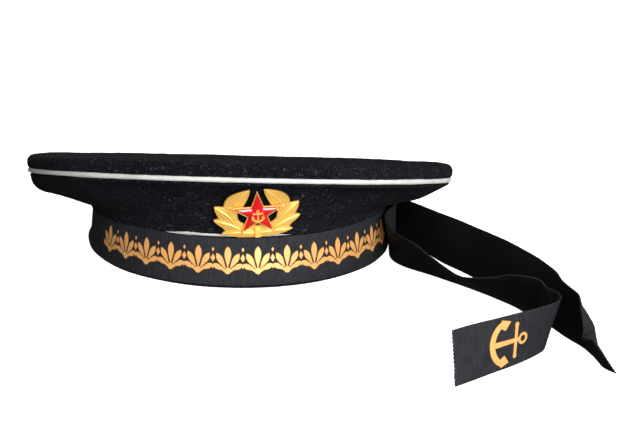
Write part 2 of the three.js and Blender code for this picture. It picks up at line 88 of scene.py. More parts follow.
class Finish:
    """A material in the making, with the sockets that are the same all over set at once."""

    def __init__(self, name, fixed):
        self.material = bpy.data.materials.new(name)
        self.material.use_nodes = True
        self.surface = self.material.node_tree.nodes["Principled BSDF"]
        for socket, value in fixed.items():
            self.surface.inputs[socket].default_value = value

    def node(self, kind, settings=None, inputs=None, output=0):
        made = self.material.node_tree.nodes.new(kind)
        for name, value in (settings or {}).items():
            setattr(made, name, value)
        for name, value in (inputs or {}).items():
            self.feed(made.inputs[name], value)
        return Value(self, made.outputs[output])

    def feed(self, socket, value):
        if isinstance(value, Value):
            self.material.node_tree.links.new(value.socket, socket)
        elif socket.type == "RGBA" and len(value) == 3:
            socket.default_value = (*value, 1)
        else:
            socket.default_value = value

    def place(self, kind="Object"):
        return self.node("ShaderNodeTexCoord", output=kind)

    def along(self, axis, place):
        return self.node("ShaderNodeSeparateXYZ", None, {0: place}, axis)

    def stretched(self, place, scale):
        return self.node("ShaderNodeVectorMath", {"operation": "MULTIPLY"}, {0: place, 1: scale})

    def bent(self, place, size, reach):
        """Places pushed about by soft noise, so that nothing laid on them runs straight."""
        fixed = {"Vector": place, "Scale": 1 / size, "Detail": 1.0}
        push = self.node("ShaderNodeTexNoise", None, fixed, 1)
        fixed = {0: push, 1: (2 * reach, 2 * reach, 2 * reach), 2: place}
        return self.node("ShaderNodeVectorMath", {"operation": "MULTIPLY_ADD"}, fixed)

    def noise(self, place, size, detail=2.0, rough=0.5):
        fixed = {"Vector": place, "Scale": 1 / size, "Detail": detail, "Roughness": rough}
        return self.node("ShaderNodeTexNoise", None, fixed)

    def step(self, value, low, high):
        fixed = {"Value": value, "From Min": low, "From Max": high}
        return self.node("ShaderNodeMapRange", {"interpolation_type": "SMOOTHSTEP"}, fixed)

    def mix(self, low, high, share):
        return self.node("ShaderNodeMix", {"data_type": "RGBA"}, {0: share, 6: low, 7: high}, 2)

    def bump(self, height, depth, strength=1.0):
        fixed = {"Height": height, "Distance": depth, "Strength": strength}
        return self.node("ShaderNodeBump", None, fixed)

    def wear(self, **inputs):
        names = {"colour": "Base Color", "roughness": "Roughness", "normal": "Normal"}
        for name, value in inputs.items():
            self.feed(self.surface.inputs[names[name]], value)
        return self.material


def wool_cloth(name, dark, light, lint):
    """Milled wool: a fibrous nap that hides the weave, with paler fibres and a little lint caught in it."""
    fixed = {"Sheen Weight": 0.02, "Sheen Roughness": 0.5, "Specular IOR Level": 0.05}
    wool = Finish(name, fixed)
    wool.surface.inputs["Sheen Tint"].default_value = (0.7, 0.75, 0.9, 1)
    place = wool.place()
    fibres = wool.noise(wool.bent(place, 0.002, 0.0006), 0.00045, 4.0, 0.7)
    tufts = wool.noise(place, 0.0015, 4.0, 0.62)
    clouds = wool.noise(place, 0.03, 3.0)
    lying = wool.stretched(wool.bent(place, 0.006, 0.004), (0.35, 0.35, 1.0))
    standing = wool.stretched(wool.bent(place, 0.005, 0.004), (1.0, 1.0, 0.4))
    strands = wool.noise(lying, 0.0009, 2.0, 0.6).math("MAXIMUM", wool.noise(standing, 0.0008, 2.0, 0.6))
    pale = wool.step(fibres * 0.2 + tufts * 0.35 + strands * 0.45, 0.47, 0.64)
    ground = wool.mix(dark, light, pale * 0.9 + clouds * 0.5 - 0.2)
    specks = wool.step(strands, 0.62, 0.74)
    spread = wool.step(wool.noise(place, 0.006, 1.0), 0.4, 0.62)
    colour = wool.mix(ground, lint, specks * spread * 0.7)
    relief = wool.bump(fibres + tufts * 1.4 + strands * 1.5, 0.0008, 1.0)
    return wool.wear(colour=colour, roughness=fibres * 0.2 + 0.78, normal=relief)


navy_wool = wool_cloth("navy_wool", (0.0015, 0.0016, 0.0024), (0.018, 0.0185, 0.0255), (0.13, 0.13, 0.14))


def front_to_back(front, back, turn):
    """A size that goes smoothly from its value in front to its value behind."""
    return front + (back - front) * (1 - np.cos(turn)) / 2


def band_top(turn):
    return front_to_back(BAND_FRONT, BAND_BACK, turn)


def band_lean(up):
    """How far the band's outside stands in from its foot at a height."""
    return -BAND_FLARE * up / BAND_FRONT


def round_cap(turn, out, up):
    """Points round the cap: `turn` from the front towards +X, `out` past the band's foot, `up` the height."""
    x = (BAND_HALF_WIDTH + out) * np.sin(turn)
    y = -(BAND_HALF_LENGTH + out) * np.cos(turn)
    return np.stack([x, y, up + 0 * x], -1) + np.array(MIDDLE)


def rounded(corners, radius, runs, steps=3):
    """Outlines with their corners rounded. `runs` says how many steps each straight side is cut into."""
    count = corners.shape[-2]
    outline = []
    for k in range(count):
        corner = corners[..., k, :]
        following = corners[..., (k + 1) % count, :]
        back = corners[..., k - 1, :] - corner
        ahead = following - corner
        back = back / np.linalg.norm(back, axis=-1, keepdims=True) * radius
        ahead = ahead / np.linalg.norm(ahead, axis=-1, keepdims=True) * radius
        start = corner + back
        end = corner + ahead
        for t in np.linspace(0, 1, steps + 1):
            outline.append(start * (1 - t) ** 2 + corner * 2 * t * (1 - t) + end * t**2)
        for t in np.arange(1, runs[k]) / runs[k]:
            outline.append(end + (following - ahead - end) * t)
    return np.stack(outline, -2)


def lengths(points, closed):
    """The distance covered along a row of points, starting from nothing."""
    ends = np.roll(points, -1, 0) if closed else points[1:]
    starts = points if closed else points[:-1]
    return np.concatenate([[0], np.cumsum(np.linalg.norm(ends - starts, axis=-1))])


def skin(name, points, ring, material):
    """A closed skin over a row of closed sections, with its lengths along and across as its UV map."""
    rows, columns = points.shape[:2]
    index = np.arange(rows * columns).reshape(rows, columns)
    here = index if ring else index[:-1]
    there = np.roll(index, -1, 0) if ring else index[1:]
    faces = np.stack([here, there, np.roll(there, -1, 1), np.roll(here, -1, 1)], 2).reshape(-1, 4).tolist()
    if not ring:
        faces.append(index[0].tolist())
        faces.append(index[-1][::-1].tolist())
    mesh = bpy.data.meshes.new(name)
    mesh.from_pydata(points.reshape(-1, 3).tolist(), [], faces)
    along = lengths(points[:, 0], ring)
    across = lengths(points[0], True)
    spans = len(here)
    u = np.stack([along[:spans], along[1 : spans + 1], along[1 : spans + 1], along[:spans]], 1)
    v = np.stack([across[:-1], across[:-1], across[1:], across[1:]], 1)
    uv = np.zeros((len(mesh.loops), 2))
    uv[: spans * columns * 4, 0] = np.repeat(u[:, None], columns, 1).reshape(-1)
    uv[: spans * columns * 4, 1] = np.repeat(v[None], spans, 0).reshape(-1)
    mesh.uv_layers.new(name="lengths").data.foreach_set("uv", uv.ravel().astype(np.float32))
    mesh.shade_smooth()
    return fitted(name, mesh, material)


def fitted(name, mesh, material):
    """A piece of the cap, riding on its one body and finished in the material given."""
    piece = bpy.data.objects.new(name, mesh)
    bpy.context.scene.collection.objects.link(piece)
    mesh.materials.append(material)
    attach(piece, "root")
    return piece


def uneven(piece, layers):
    """Moves every point of a mesh along its normal by soft noise; each layer has a size and a depth."""
    mesh = piece.data
    places = np.empty(len(mesh.vertices) * 3, np.float32)
    normals = np.empty_like(places)
    mesh.vertices.foreach_get("co", places)
    mesh.vertices.foreach_get("normal", normals)
    places = places.reshape(-1, 3)
    shift = np.zeros(len(places), np.float32)
    for size, depth in layers:
        shift += depth * np.array([noise.noise(Vector(place)) for place in places / size])
    places += normals.reshape(-1, 3) * shift[:, None]
    mesh.vertices.foreach_set("co", places.ravel())
    mesh.update()


turns = np.linspace(0, 2 * math.pi, BAND_STEPS, endpoint=False)
tops = band_top(turns)
band_corners = np.stack(
    [
        np.stack([0 * turns, 0 * turns], -1),
        np.stack([band_lean(tops), tops], -1),
        np.stack([band_lean(tops) - BAND_WALL, tops], -1),
        np.stack([0 * turns - BAND_WALL, 0 * turns], -1),
    ],
    1,
)
band_outline = rounded(band_corners, BAND_CORNER, (18, 2, 18, 2))
band_points = round_cap(turns[:, None], band_outline[..., 0], band_outline[..., 1])
band_cloth = skin("band_cloth", band_points, True, navy_wool)
uneven(band_cloth, BAND_WAVES)
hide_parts("band")

# The crown is a flat round disc of the same wool, seamed to the sides at the rim over a white cord.
# The disc is tilted, its front raised, and its cloth rolls over a rounded rim, a little uneven from wear.
CROWN_TILT = math.radians(12.4)
CROWN_LIST = math.radians(2.35)
CROWN_CENTRE = Vector((0, -0.006, 0.0465))
RIM_RADIUS = 0.1368
PIPING = 0.003
SEAM = PIPING / 2 + GAP
CORD_RADIUS = RIM_RADIUS - PIPING / 2
CLOTH = 0.0014
RIM_FLAT = RIM_RADIUS - 0.0096
RIM_TOP = 0.0105
RIM_STEPS = 1080
RIM_INSIDE_STEPS = 10
RIM_OUTSIDE_STEPS = 40
TOP_STEPS = 25
TOP_CROWDING = 1.3
CROWN_WAVES = [(0.045, 0.0005), (0.011, 0.0002), (0.0022, 0.00022)]
WELD = 0.000005
SLIVER = 0.000001
crown_place = Matrix.Translation(MIDDLE + CROWN_CENTRE)
crown_place = crown_place @ Matrix.Rotation(-CROWN_TILT, 4, "X") @ Matrix.Rotation(CROWN_LIST, 4, "Y")
crown_turn = np.array(crown_place.to_3x3())
crown_middle = np.array(crown_place.translation)


def on_crown(turn, radius, height):
    """Points in the crown's own frame, its origin in the middle of the seam."""
    flat = np.stack([radius * np.sin(turn), -radius * np.cos(turn), height + 0 * radius * turn], -1)
    return flat @ crown_turn.T + crown_middle


def curve_through(points, shares):
    """A smooth curve through a few points, at shares of its way: a centripetal Catmull-Rom curve."""
    points = [2 * points[0] - points[1], *points, 2 * points[-1] - points[-2]]
    made = []
    for share in shares:
        place = share * (len(points) - 3)
        k = min(int(place), len(points) - 4)
        t = place - k
        p0, p1, p2, p3 = points[k : k + 4]
        spans = (p1 - p0, p2 - p1, p3 - p2)
        d0, d1, d2 = (np.sqrt(np.linalg.norm(span, axis=-1, keepdims=True)) for span in spans)
        slope1 = ((p1 - p0) / d0 - (p2 - p0) / (d0 + d1) + (p2 - p1) / d1) * d1
        slope2 = ((p2 - p1) / d1 - (p3 - p1) / (d1 + d2) + (p3 - p2) / d2) * d1
        hermite = (2 * t**3 - 3 * t**2 + 1) * p1 + (t**3 - 2 * t**2 + t) * slope1
        made.append(hermite + (3 * t**2 - 2 * t**3) * p2 + (t**3 - t**2) * slope2)
    return np.stack(made, -2)


RIM_OUTSIDE = [
    (CORD_RADIUS - 0.0002, SEAM - 0.0008),
    (CORD_RADIUS + 0.0015, SEAM + 0.0003),
    (RIM_RADIUS + 0.0006, SEAM + 0.0035),
    (RIM_RADIUS + 0.0002, 0.0074),
    (RIM_RADIUS - 0.0014, 0.0094),
    (RIM_RADIUS - 0.0044, 0.0103),
    (RIM_FLAT, RIM_TOP),
]
RIM_INSIDE = [
    (RIM_FLAT, RIM_TOP - CLOTH),
    (RIM_RADIUS - 0.0046, 0.0089),
    (RIM_RADIUS - 0.0018, 0.0074),
    (RIM_RADIUS - 0.001, SEAM + 0.0035),
    (CORD_RADIUS - 0.0012 - CLOTH, SEAM + 0.0003),
]
rim_inside = curve_through([np.array(p) for p in RIM_INSIDE], np.linspace(0, 1, RIM_INSIDE_STEPS))
rim_outside = curve_through([np.array(p) for p in RIM_OUTSIDE], np.linspace(0, 1, RIM_OUTSIDE_STEPS))
inwards = RIM_FLAT * np.linspace(1, 0, TOP_STEPS + 1)[1:] ** TOP_CROWDING
top_outside = np.stack([inwards, 0 * inwards + RIM_TOP], -1)
top_inside = np.stack([inwards[::-4], 0 * inwards[::-4] + RIM_TOP - CLOTH], -1)
profile = np.concatenate([top_inside, rim_inside, rim_outside, top_outside])
rim_turns = np.linspace(0, 2 * math.pi, RIM_STEPS, endpoint=False)[:, None]
crown_points = on_crown(rim_turns, profile[None, :, 0], profile[None, :, 1])
crown_cloth = skin("crown_cloth", crown_points, True, navy_wool)
disc = bmesh.new()
disc.from_mesh(crown_cloth.data)
bmesh.ops.remove_doubles(disc, verts=disc.verts, dist=WELD)
bmesh.ops.dissolve_degenerate(disc, edges=disc.edges, dist=SLIVER)
disc.to_mesh(crown_cloth.data)
disc.free()
uneven(crown_cloth, CROWN_WAVES)
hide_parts("crown_top")

# The sides are wool too, steep in front, where a stay holds the crown up, and drooping in a soft roll
# round the sides and the back. They are cut as a ring, and the sections below follow them round.
SIDE_COLUMNS = ("turn", "low_along", "low_above", "high_along", "high_above")
SIDE_COLUMNS += ("set_in", "down", "full", "tuck")
SIDE_SECTIONS = np.array(
    [
        (-180, -0.028, 0.043, 0.149, 0.2, 0.5, 0.8, 0.03, 0.5),
        (-135, -0.01, 0.035, 0.17, 0.15, 0.6, 1, 0.04, 0.5),
        (-110, 0.01, -0.01, 0.24, 0.06, 0.65, 1.3, 0.2, 0.5),
        (-90, 0.26, -0.025, 0.68, -0.025, 0.75, 1.2, 0.16, 0.6),
        (-60, 0.3, 0.01, 0.72, -0.015, 1.1, 0.87, 0.02, 0.8),
        (-30, 0.35, 0.04, 0.78, 0.08, 1.7, 0.35, 0, 1),
        (0, 0.36, 0.05, 0.8, 0.1, 2, 0.08, 0, 1),
        (30, 0.35, 0.04, 0.78, 0.08, 1.7, 0.35, 0, 1),
        (60, 0.3, 0.01, 0.72, -0.02, 1.2, 0.78, 0, 0.8),
        (85, 0.27, -0.04, 0.7, -0.09, 1.25, 0.8, 0, 0.6),
        (105, 0.05, -0.02, 0.35, 0, 1.1, 0.95, 0.02, 0.5),
        (135, -0.01, 0.035, 0.17, 0.15, 0.6, 1, 0.04, 0.5),
        (180, -0.028, 0.043, 0.149, 0.2, 0.5, 0.8, 0.03, 0.5),
    ]
)
ROLL = 0.01
BAND_PIPING = 0.0026
SIDE_OUTSIDE = 64
SIDE_INSIDE = 16
SIDE_WAVES = [(0.04, 0.0005), (0.011, 0.0002), (0.0022, 0.00018)]
# the hem stands out over the band and hangs past it, by the angle from the front
HEM_TURNS = (-180, -135, -100, -75, -50, -35, -26, 4, 13, 40, 60, 180)
HEM_OUT = (0.0022, 0.0022, 0.0036, 0.0026, 0.0019, 0.0016, 0.0007, 0.0007, 0.0016, 0.002, 0.0022, 0.0022)
HEM_DOWN = (0.0019, 0.0019, 0.0062, 0.0036, 0.0027, 0.0025, 0.0007, 0.0007, 0.0025, 0.0027, 0.0024, 0.0019)
HEM_SWELL = 1.1
HEM_SWELL_DOWN = 0.6
HEM_SWELL_ALONG = 0.12
HEM_ABOVE = 0.4


def column(table, name, names, at):
    """A column of a table at any places between its rows: a smooth curve that never overshoots a row."""
    x = table[:, 0]
    y = table[:, names.index(name)]
    slopes = np.diff(y) / np.diff(x)
    product = slopes[:-1] * slopes[1:]
    total = np.where(product > 0, slopes[:-1] + slopes[1:], 1)
    bends = np.concatenate([[0], np.where(product > 0, 2 * product / total, 0), [0]])
    k = np.clip(np.searchsorted(x, at, side="right") - 1, 0, len(x) - 2)
    run = x[k + 1] - x[k]
    t = np.clip((at - x[k]) / run, 0, 1)
    ends = y[k] * (1 + 2 * t) * (1 - t) ** 2 + y[k + 1] * t * t * (3 - 2 * t)
    return ends + run * (bends[k] * t * (1 - t) ** 2 - bends[k + 1] * t * t * (1 - t))


side_turns = rim_turns[:, 0]
from_left = np.degrees((side_turns + math.pi) % (2 * math.pi) - math.pi)
cut = {name: column(SIDE_SECTIONS, name, SIDE_COLUMNS, from_left)[:, None] for name in SIDE_COLUMNS[1:]}
side_tops = band_top(side_turns)
side_from = round_cap(side_turns, band_lean(side_tops) - 2 * GAP, side_tops + BAND_PIPING + 2 * GAP)
side_to = on_crown(side_turns, CORD_RADIUS + 0 * side_turns, -SEAM - CLOTH * cut["tuck"][:, 0])
outward = (side_to - side_from) * (1, 1, 0)
outward = outward / np.linalg.norm(outward, axis=1, keepdims=True)
upward = np.array((0, 0, 1))
roll = side_to - outward * ROLL * cut["set_in"] - upward * ROLL * cut["down"]
line = roll - side_from
above = upward * (line * outward).sum(1, keepdims=True) - outward * line[:, 2:]
low = side_from + line * cut["low_along"] + above * cut["low_above"]
high = side_from + line * cut["high_along"] + above * cut["high_above"]
hang = side_to - roll
full = cut["full"]
hang_out = (hang * outward).sum(1, keepdims=True)
swell = (roll + side_to) / 2 + outward * hang[:, 2:] * full - upward * hang_out * full
hem_out = outward * np.interp(from_left, HEM_TURNS, HEM_OUT)[:, None]
hem_down = upward * np.interp(from_left, HEM_TURNS, HEM_DOWN)[:, None]
over_hem = side_from + hem_out * HEM_SWELL + hem_down * HEM_SWELL_DOWN
over_hem = over_hem + (low - side_from) * HEM_SWELL_ALONG
knots = [side_from + hem_out - hem_down, over_hem, low + hem_out * HEM_ABOVE, high, roll, swell, side_to]
side_outer = curve_through(knots, np.linspace(0, 1, SIDE_OUTSIDE))
side_run = np.gradient(side_outer, axis=1)
side_run_out = (side_run * outward[:, None]).sum(-1)[..., None]
side_in = -side_run[..., 2:] * outward[:, None] + upward * side_run_out
side_in = side_in / np.linalg.norm(side_in, axis=-1, keepdims=True)
side_inner = (side_outer + side_in * CLOTH)[:, np.linspace(SIDE_OUTSIDE - 1, 0, SIDE_INSIDE).astype(int)]
side_cloth = skin("side_cloth", np.concatenate([side_outer, side_inner], 1), True, navy_wool)
uneven(side_cloth, SIDE_WAVES)
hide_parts("crown_side")

# White cord, covered with cotton cut on the bias, is sewn into both seams: a thick one round the rim and
# a thinner one between the sides and the band, most of which the ribbon hides.
CORD_SIDES = 14
CORD_STEPS = 900
TWILL = 0.0007
RIM_CORD_WAVES = [(0.02, 0.00016), (0.003, 0.00012)]
SEAM_CORD_WAVES = [(0.02, 0.00012), (0.003, 0.0001)]
cotton = Finish("white_cotton", {"Sheen Weight": 0.2, "Specular IOR Level": 0.25})
cotton_place = cotton.place("UV")
cotton_length = cotton.along(0, cotton_place)
cotton_round = cotton.along(1, cotton_place)
twill = (cotton_length + cotton_round) * (2 * math.pi / TWILL)
ridges = twill.math("SINE")
soil = cotton.step(cotton.noise(cotton.place(), 0.012, 3.0), 0.42, 0.75)
threads = cotton.noise(cotton.place(), 0.0004, 3.0)
cotton.wear(
    colour=cotton.mix((0.6, 0.585, 0.555), (0.42, 0.4, 0.375), soil * 0.5 + ridges * 0.06 + threads * 0.12),
    roughness=0.85,
    normal=cotton.bump(ridges * 0.35 + threads, 0.00012),
)


def cord_sections(centre, out, up, thickness):
    """Round sections on a closed line of points, turned by the `out` and `up` directions at each."""
    angle = -np.linspace(0, 2 * math.pi, CORD_SIDES, endpoint=False)
    ring = np.cos(angle)[None, :, None] * out[:, None] + np.sin(angle)[None, :, None] * up[:, None]
    return centre[:, None] + ring * thickness / 2


cord_turns = np.linspace(0, 2 * math.pi, CORD_STEPS, endpoint=False)
rim_centre = on_crown(cord_turns, CORD_RADIUS + 0 * cord_turns, 0)
rim_out = on_crown(cord_turns, CORD_RADIUS + 1 + 0 * cord_turns, 0) - rim_centre
rim_up = on_crown(cord_turns, CORD_RADIUS + 0 * cord_turns, 1) - rim_centre
rim_sections = cord_sections(rim_centre, rim_out, -rim_up, PIPING)
rim_cord = skin("rim_cord", rim_sections, True, cotton.material)
uneven(rim_cord, RIM_CORD_WAVES)
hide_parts("crown_piping")

cord_heights = band_top(cord_turns) + GAP + BAND_PIPING / 2
seam_centre = round_cap(cord_turns, band_lean(cord_heights) - BAND_PIPING / 2, cord_heights)
seam_out = round_cap(cord_turns, band_lean(cord_heights) + 1, cord_heights) - seam_centre
seam_out = seam_out / np.linalg.norm(seam_out, axis=1, keepdims=True)
seam_up = np.repeat(upward[None], CORD_STEPS, 0)
seam_sections = cord_sections(seam_centre, seam_out, -seam_up, BAND_PIPING)
seam_cord = skin("seam_cord", seam_sections, True, cotton.material)
uneven(seam_cord, SEAM_CORD_WAVES)
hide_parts("band_piping")

# The ribbon is black ribbed silk with a firm edge. It goes once round the band, a touch below its top, and
# both ends leave it behind as long tails, which come round the side and lie out over the floor.
RIBBON_WIDTH = 0.0292
RIBBON_THICK = 0.001
RIBBON_SHOWN_THICK = 0.0008
RIBBON_FOOT_FRONT = 0.0019
RIBBON_FOOT_BACK = 0.0003
RIB = 0.00085
RIBBON_CORNER = 0.0003
RIBBON_STEPS = 512
PUCKER_TURN = 261
PUCKER_HEIGHT = 0.004
PUCKER_OUT = 0.0019
PUCKER_SPREAD = 16
PUCKER_RISE = 0.0035
grosgrain = Finish("ribbed_silk", {"Specular IOR Level": 0.12})
silk_place = grosgrain.place("UV")
silk_length = grosgrain.along(0, silk_place)
silk_ribs = (silk_length * (2 * math.pi / RIB)).math("SINE")
silk_threads = grosgrain.noise(grosgrain.stretched(silk_place, (1.0, 0.12, 1.0)), 0.0003, 3.0)
silk_wear = grosgrain.noise(grosgrain.place(), 0.013, 4.0, 0.6)
silk_dust = grosgrain.step(grosgrain.noise(grosgrain.place(), 0.0011, 1.0), 0.76, 0.8)
silk_fluff = grosgrain.noise(grosgrain.place(), 0.0012, 3.0, 0.6)
silk_slubs = grosgrain.noise(grosgrain.stretched(silk_place, (1.0, 0.3, 1.0)), 0.0024, 3.0, 0.65)
silk_share = silk_ribs * 0.1 + silk_wear * 0.3 + silk_fluff * 0.8 + silk_slubs * 0.9 - 0.5
silk_face = grosgrain.mix((0.0045, 0.005, 0.006), (0.0325, 0.035, 0.04), silk_share)
# Painted shade: the reverse face of the silk, past its width and upper edge round each section, is painted
# near black so that the reverse sides of the tails look shaded.
reverse_painted_shade = grosgrain.step(grosgrain.along(1, silk_place), RIBBON_WIDTH + 0.001, RIBBON_WIDTH + 0.0015)
silk_ground_and_painted_shade = grosgrain.mix(silk_face, (0.0035, 0.0036, 0.004), reverse_painted_shade)
grosgrain.wear(
    colour=grosgrain.mix(silk_ground_and_painted_shade, (0.09, 0.09, 0.09), silk_dust * 0.4),
    roughness=silk_wear * 0.14 + silk_threads * 0.1 + 0.46,
    normal=grosgrain.bump(silk_ribs + silk_threads * 0.6, 0.00006, 0.9),
)


def ribbon_foot(turn):
    return front_to_back(RIBBON_FOOT_FRONT, RIBBON_FOOT_BACK, turn)


ribbon_rise = math.sqrt(RIBBON_WIDTH**2 - BAND_FLARE**2)
ribbon_turns = np.linspace(0, 2 * math.pi, RIBBON_STEPS, endpoint=False)
feet = ribbon_foot(ribbon_turns)
heads = feet + ribbon_rise
ribbon_corners = np.stack(
    [
        np.stack([band_lean(feet) + GAP + RIBBON_THICK, feet], -1),
        np.stack([band_lean(heads) + GAP + RIBBON_THICK, heads], -1),
        np.stack([band_lean(heads) + GAP + RIBBON_THICK - RIBBON_SHOWN_THICK, heads], -1),
        np.stack([band_lean(feet) + GAP + RIBBON_THICK - RIBBON_SHOWN_THICK, feet], -1),
    ],
    1,
)
ribbon_outline = rounded(ribbon_corners, RIBBON_CORNER, (16, 1, 8, 1), 2)
pucker_round = np.exp(-(((np.degrees(ribbon_turns) - PUCKER_TURN) / PUCKER_SPREAD) ** 2))
pucker_up = np.exp(-(((ribbon_outline[..., 1] - PUCKER_HEIGHT) / PUCKER_RISE) ** 2))
ribbon_outline[..., 0] += PUCKER_OUT * pucker_round[:, None] * pucker_up
ribbon_points = round_cap(ribbon_turns[:, None], ribbon_outline[..., 0], ribbon_outline[..., 1])
ribbon = skin("ribbon", ribbon_points, True, grosgrain.material)
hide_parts("ribbon_band")
ribbon_round = lengths(ribbon_points[:, 0], True)[-1]

# Each tail stands on its lower edge and turns as it goes. A row gives the heading of the lower edge over
# the floor and the lean from upright, by the share of the free length. Both ends are cut with teeth, and
# the far tail's upper edge is folded over near its end.
TAIL_COLUMNS = ("at", "heading", "lean")
NEAR_TAIL = np.array(
    [
        (0, -72, 0),
        (0.08, -114, 0),
        (0.16, -89, -10),
        (0.25, -55, -30),
        (0.3, -56, -36),
        (0.35, -57, -45),
        (0.45, -63, -56),
        (0.54, -71, -42),
        (0.61, -98, -21),
        (0.66, -98, 3),
        (0.69, -96, 4),
        (0.72, -94, 15),
        (0.78, -136, 10),
        (0.88, -145, 0),
        (1, -146, -8),
    ]
)
FAR_TAIL = np.array(
    [
        (0, -72, 0),
        (0.12, -75, -2),
        (0.25, -75, 8),
        (0.4, -69, 27),
        (0.55, -76, 26),
        (0.7, -81, 16),
        (0.78, -79, 3),
        (0.84, -76, -2),
        (0.9, -86, -13),
        (0.95, -92, -13),
        (1, -60, -41),
    ]
)
NEAR_TAIL_LENGTH = 0.311
NEAR_TAIL_LEAVES = math.radians(92)
FAR_TAIL_LENGTH = 0.297
FAR_TAIL_LEAVES = math.radians(75)
FAR_TAIL_FOLD = ((0.88, 0.965, 0.995), (0, 0.0075, 0))
FOLD_OPEN = math.radians(74)
LAYER_GAP = 0.00045
TAIL_STEPS = 260
TAIL_CELLS = 44
TAIL_WAVES = [(0.02, 0.0003)]
HUG_STEPS = 70
NEAR_TOOTH = 0.0021
FAR_TOOTH = 0.0026
TOOTH_DEPTH = 0.42
TOOTH_ROWS = 3


def tail_route(table, length, leaves, layer):
    """The lower edge of a tail from the back of the band to its end: places, headings and leans."""
    out = layer * (RIBBON_THICK + LAYER_GAP) + GAP + RIBBON_THICK / 2
    angle = np.linspace(0, leaves, HUG_STEPS + 1)
    half_width = BAND_HALF_WIDTH + out
    half_length = BAND_HALF_LENGTH + out
    hug = np.stack([half_width * np.sin(angle), half_length * np.cos(angle)], -1)
    hug_heading = np.arctan2(-half_length * np.sin(angle), half_width * np.cos(angle))
    at = np.linspace(0, 1, TAIL_STEPS + 1)
    heading = np.radians(column(table, "heading", TAIL_COLUMNS, at))
    lean = np.radians(column(table, "lean", TAIL_COLUMNS, at))
    middle = np.radians(column(table, "heading", TAIL_COLUMNS, at[:-1] + 0.5 / TAIL_STEPS))
    steps = np.stack([np.cos(middle), np.sin(middle)], -1) * length / TAIL_STEPS
    free = hug[-1] + np.concatenate([np.zeros((1, 2)), np.cumsum(steps, 0)])
    places = np.concatenate([hug[:-1], free])
    headings = np.concatenate([hug_heading[:-1], heading])
    leans = np.concatenate([np.zeros(HUG_STEPS), lean])
    return places, headings, leans


def tail_frame(route):
    """The foot of each section, and the directions up the ribbon, through it and along it."""
    places, headings, leans = route
    side = np.stack([-np.sin(headings), np.cos(headings), 0 * headings], -1)
    up = upward * np.cos(leans)[:, None] + side * np.sin(leans)[:, None]
    through = side * np.cos(leans)[:, None] - upward * np.sin(leans)[:, None]
    ahead = np.stack([np.cos(headings), np.sin(headings), 0 * headings], -1)
    lift = RIBBON_THICK / 2 * np.abs(np.sin(leans))
    foot = np.stack([places[:, 0], places[:, 1], lift], -1) + np.array(MIDDLE)
    return foot, up, through, ahead


def tail_piece(name, route, node, tooth, fold=((0, 1), (0, 0))):
    """A thin ribbon with rounded edges, its end cut in small teeth and its upper edge folded over."""
    foot, up, through, ahead = tail_frame(route)
    half = through * RIBBON_SHOWN_THICK / 2
    head = foot + up * RIBBON_WIDTH
    corners = np.stack([head - half, head + half, foot + half, foot - half], 1)
    sections = rounded(corners, RIBBON_CORNER, (1, TAIL_CELLS, 1, TAIL_CELLS), 2)
    height = ((sections - foot[:, None]) * up[:, None]).sum(-1) / RIBBON_WIDTH
    teeth = np.abs((height * RIBBON_WIDTH / tooth) % 1 * 2 - 1) - 0.5
    from_end = len(foot) - 1 - np.arange(len(foot))
    fade = np.clip((TOOTH_ROWS - from_end) / TOOTH_ROWS, 0, 1)[:, None]
    sections = sections + ahead[:, None] * (teeth * fade * tooth * TOOTH_DEPTH)[..., None]
    share = (np.arange(len(foot)) - HUG_STEPS) / TAIL_STEPS
    crease = RIBBON_WIDTH - np.interp(share, *fold)
    away = ((sections - foot[:, None]) * through[:, None]).sum(-1)
    over = np.maximum(0, height * RIBBON_WIDTH - crease[:, None])
    turned = over > 0
    down = -over * (1 + math.cos(FOLD_OPEN)) + away * math.sin(FOLD_OPEN) * turned
    aside = -over * math.sin(FOLD_OPEN) - away * (1 + math.cos(FOLD_OPEN)) * turned
    sections = sections + up[:, None] * down[..., None] + through[:, None] * aside[..., None]
    piece = skin(name, sections, False, grosgrain.material)
    uneven(piece, TAIL_WAVES)
    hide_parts(node)
    span = lengths(foot, False)[-1]


near_route = tail_route(NEAR_TAIL, NEAR_TAIL_LENGTH, NEAR_TAIL_LEAVES, 1)
far_route = tail_route(FAR_TAIL, FAR_TAIL_LENGTH, FAR_TAIL_LEAVES, 2)
tail_piece("near_tail", near_route, "ribbon_tail_near", NEAR_TOOTH)
tail_piece("far_tail", far_route, "ribbon_tail_far", FAR_TOOTH, FAR_TAIL_FOLD)

# Gold foil is pressed onto the ribbon in front: a frieze of palmettes with small lozenges between them.
# Each print is a thin solid on the silk, and a darker rim of glue shows round it.
FOIL = 0.00012
GLUE = 0.00006
GLUE_RIM = 0.00035
PRINT_CELL = 0.0012
PRINT_WELD = 0.000004
PRINT_LOW = 0.0085
PRINT_HEIGHT = 0.0162
PALMETTES = 13
FRIEZE_REACH = 0.108
FRONT_STEPS = 180
# the turn, length and width of each petal, then the knob and the bow at its foot, as shares of the height
PETALS = ((0.0, 1.0, 0.24), (31, 0.83, 0.21), (-31, 0.83, 0.21), (62, 0.6, 0.19), (-62, 0.6, 0.19))
PETAL_REACH = 0.86
PETAL_RISE = 0.1
PETAL_STEPS = 12
PETAL_DROP = 1.7
PETAL_BLUNT = 0.8
KNOB_RISE = 0.04
KNOB_RADIUS = 0.12
BOW_RISE = 0.28
BOW_OUTSIDE = 0.3
BOW_INSIDE = 0.21
